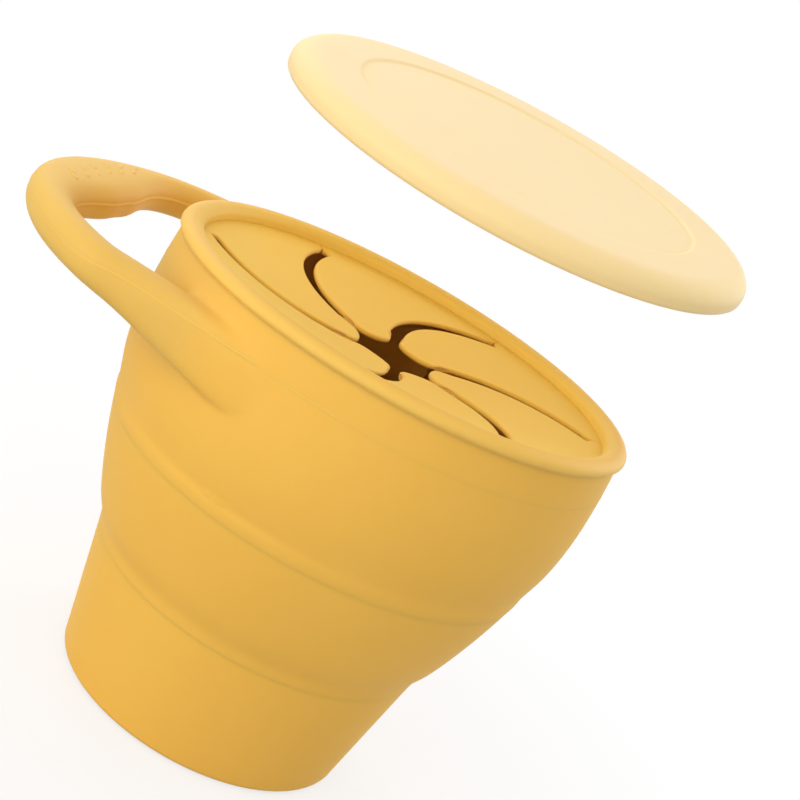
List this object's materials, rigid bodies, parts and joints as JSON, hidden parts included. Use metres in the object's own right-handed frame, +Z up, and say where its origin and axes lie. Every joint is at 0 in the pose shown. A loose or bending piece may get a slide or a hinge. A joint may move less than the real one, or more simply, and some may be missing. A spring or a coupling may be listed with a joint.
{
  "type": "toddler snack container",
  "caption": "Collapsible soft cup for dry snacks, with a carrying loop, a top of curved flaps that a hand reaches through, and a loose cover lid.",
  "frame": {"origin": "centre of the cup's flat base, on the surface it stands on", "axes": "+Z up along the cup's axis, -X towards the carrying loop"},
  "size_m": [0.1235, 0.1105, 0.1269],
  "materials": {
    "cup_silicone": "soft matt silicone, mustard yellow",
    "lid_silicone": "translucent satin silicone, pale cream"
  },
  "bodies": {
    "base": {"base_cup": "cup_silicone", "fold_ring_lower": "cup_silicone"},
    "middle": {"middle_tier": "cup_silicone", "fold_ring_upper": "cup_silicone"},
    "upper": {"upper_wall": "cup_silicone", "rim_bead": "cup_silicone", "carry_loop": "cup_silicone"},
    "flap_1_body": {"flap_1": "cup_silicone"},
    "flap_2_body": {"flap_2": "cup_silicone"},
    "flap_3_body": {"flap_3": "cup_silicone"},
    "flap_4_body": {"flap_4": "cup_silicone"},
    "flap_5_body": {"flap_5": "cup_silicone"},
    "flap_6_body": {"flap_6": "cup_silicone"},
    "lid": {"cover_lid": "lid_silicone"}
  },
  "joints": [
    {"name": "lower_fold", "type": "slide", "parent": "base", "child": "middle", "axis": [0, 0, -1], "range_m": [0, 0.021], "deforming": ["fold_ring_lower"]},
    {"name": "upper_fold", "type": "slide", "parent": "middle", "child": "upper", "axis": [0, 0, -1], "range_m": [0, 0.025], "deforming": ["fold_ring_upper"]},
    {"name": "flap_1_bend", "type": "hinge", "parent": "upper", "child": "flap_1_body", "pos_m": [0.0239, 0.02374, 0.08168], "axis": [-0.7046, 0.7096, 0], "range_deg": [-45, 25], "stiffness_Nm_per_rad": 0.03},
    {"name": "flap_2_bend", "type": "hinge", "parent": "upper", "child": "flap_2_body", "pos_m": [-0.00861, 0.03257, 0.08168], "axis": [-0.9668, -0.2554, 0], "range_deg": [-45, 25], "stiffness_Nm_per_rad": 0.03},
    {"name": "flap_3_bend", "type": "hinge", "parent": "upper", "child": "flap_3_body", "pos_m": [-0.03251, 0.00883, 0.08168], "axis": [-0.2622, -0.965, 0], "range_deg": [-45, 25], "stiffness_Nm_per_rad": 0.03},
    {"name": "flap_4_bend", "type": "hinge", "parent": "upper", "child": "flap_4_body", "pos_m": [-0.0239, -0.02374, 0.08168], "axis": [0.7046, -0.7096, 0], "range_deg": [-45, 25], "stiffness_Nm_per_rad": 0.03},
    {"name": "flap_5_bend", "type": "hinge", "parent": "upper", "child": "flap_5_body", "pos_m": [0.00861, -0.03257, 0.08168], "axis": [0.9668, 0.2554, 0], "range_deg": [-45, 25], "stiffness_Nm_per_rad": 0.03},
    {"name": "flap_6_bend", "type": "hinge", "parent": "upper", "child": "flap_6_body", "pos_m": [0.03251, -0.00883, 0.08168], "axis": [0.2622, 0.965, 0], "range_deg": [-45, 25], "stiffness_Nm_per_rad": 0.03},
    {"name": "lid_lift", "type": "hinge", "parent": "upper", "child": "lid", "pos_m": [-0.01108, -0.31723, 0.25385], "axis": [0.9994, -0.0349, 0], "range_deg": [-6.1, 3]}
  ]
}
